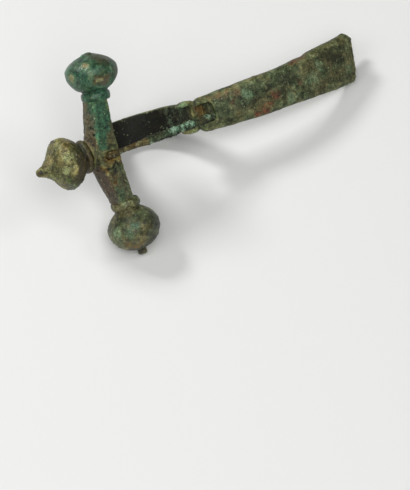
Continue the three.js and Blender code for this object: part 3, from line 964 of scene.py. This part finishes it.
def make_pin():
    piece = remesh(pin_shape(), PIN_VOXEL, 1)
    co, _, _ = arrays(piece)
    x = co[:, 0]
    eye = smoothstep(2.6 - np.linalg.norm(co - HINGE, axis=1), 0, 0.4)
    crusted = smoothstep(x, 8.5, 12)
    change = 0.05 * noise(co, 1.6, 51) * (1 + crusted) + 0.03 * cloud(co, 0.6, 2, 56)
    change += crusted * (0.16 * cloud(co, 1.1, 3, 52) + spots(co, 53, 320, 0.5, 0.2))
    change += spots(co, 54, 160, 0.45, -0.16)
    change += eye * 0.25 * cloud(co, 1.2, 2, 55)
    eye_sides = (np.abs(co[:, 1] - HINGE[1]) > 0.85) & (eye > 0.1)
    change = np.where(eye_sides, np.minimum(change, 0), change)
    masks = {
        "crust": crusted * (1 - 0.8 * near(co, (28.4, 1.4, -2.3), 2.6)),
        "rust": patches(co, [(28.4, 1.2, -3.0, 2.6), (-1.6, 1.4, -3.6, 3.0), (5.5, 1.4, -2.6, 3.4)], 0.5),
        # painted shade: the crusted pin is darker on its side towards the lower knob, away from the light
        "dark": crusted * smoothstep(co[:, 1], 1.4, 2.4) * 0.7,
        "chalk": patches(co, [(11.5, 2.0, -3.0, 1.8), (13.8, 1.6, -3.2, 1.5), (19.5, 0.8, -3.4, 2.4),
                              (22, 1.4, -3.3, 1.6), (24.5, 0.8, -3.3, 2.2), (31, 1.0, -3.0, 1.8)], 0.7),
    }
    ground = [(0.0, (44, 34, 20)), (0.28, (80, 66, 42)), (0.5, (110, 96, 64)), (0.75, (140, 128, 92)),
              (1.0, (176, 168, 132))]
    accents = [
        ("rust", (78, 58, 30), (128, 106, 64), 0.6),
        ("crust", (36, 42, 30), (92, 106, 80), 0.3),
        # painted shade on the pin's lower side
        ("dark", (30, 32, 24), (60, 66, 48), 0.6),
        ("chalk", (110, 146, 126), (196, 218, 200), 1.2),
    ]
    material = patina("pin_crust", ground, accents, (180, 204, 186), (0.5, 0.8), 0.7,
                      gloss=0.3, shade=0.86)
    return finish_piece(piece, "hinged_pin", change, masks, "pin", "pin", material)


# ---------------------------------------------------------------- floor, light and camera

def make_floor():
    mesh = bpy.data.meshes.new("floor")
    half = FLOOR_HALF
    corners = [(-half, -half, 0), (half, -half, 0), (half, half, 0), (-half, half, 0)]
    mesh.from_pydata(corners, [], [(0, 1, 2, 3)])
    floor = new_object("floor", mesh)
    paper = bpy.data.materials.new("pale_paper")
    paper.use_nodes = True
    shader = paper.node_tree.nodes["Principled BSDF"]
    shader.inputs["Base Color"].default_value = (0.82, 0.82, 0.81, 1)
    shader.inputs["Roughness"].default_value = 0.9
    shader.inputs["Specular IOR Level"].default_value = 0.1
    mesh.materials.append(paper)


def area_light(name, azimuth, elevation, distance, size, power):
    """Softbox that faces the brooch. Azimuth 0 is in front of it, at -Y, and 90 at +X."""
    light = bpy.data.lights.new(name, "AREA")
    light.shape = "DISK"
    light.size = size
    light.energy = power
    lamp = bpy.data.objects.new(name, light)
    bpy.context.scene.collection.objects.link(lamp)
    a, e = math.radians(azimuth), math.radians(elevation)
    back = Vector((math.sin(a) * math.cos(e), -math.cos(a) * math.cos(e), math.sin(e)))
    lamp.location = back * distance
    lamp.rotation_mode = "QUATERNION"
    lamp.rotation_quaternion = (-back).to_track_quat("-Z", "Y")


def make_light():
    world = bpy.data.worlds.new("studio")
    world.use_nodes = True
    background = world.node_tree.nodes["Background"]
    background.inputs["Color"].default_value = (1, 1, 1, 1)
    background.inputs["Strength"].default_value = WORLD_STRENGTH
    bpy.context.scene.world = world
    area_light("key_behind_left", 204, 43, 0.9, 0.22, 3.9)
    area_light("front_left", 278, 50, 0.9, 0.5, 1.5)
    area_light("front", 335, 56, 0.9, 0.6, 2.3)
    area_light("right", 60, 52, 0.9, 0.25, 0.8)
    area_light("overhead", 349, 69, 1.1, 0.8, 2.2)


def make_camera():
    camera = bpy.data.cameras.new("camera")
    camera.sensor_width = 36
    camera.lens = CAMERA_LENS
    holder = bpy.data.objects.new("camera", camera)
    bpy.context.scene.collection.objects.link(holder)
    a, e = math.radians(CAMERA_AZIMUTH), math.radians(CAMERA_ELEVATION)
    back = Vector((math.sin(a) * math.cos(e), -math.cos(a) * math.cos(e), math.sin(e)))
    turn = (-back).to_track_quat("-Z", "Y").to_matrix() @ Matrix.Rotation(math.radians(CAMERA_ROLL), 3, "Z")
    holder.location = Vector(CAMERA_TARGET) + back * CAMERA_DISTANCE
    holder.rotation_mode = "QUATERNION"
    holder.rotation_quaternion = turn.to_quaternion()
    bpy.context.scene.camera = holder


make_camera()
make_light()
make_floor()
bpy.context.scene.view_settings.view_transform = "Standard"
make_body()
make_knob_a()
make_knob_b()
make_knob_head()
make_pin()
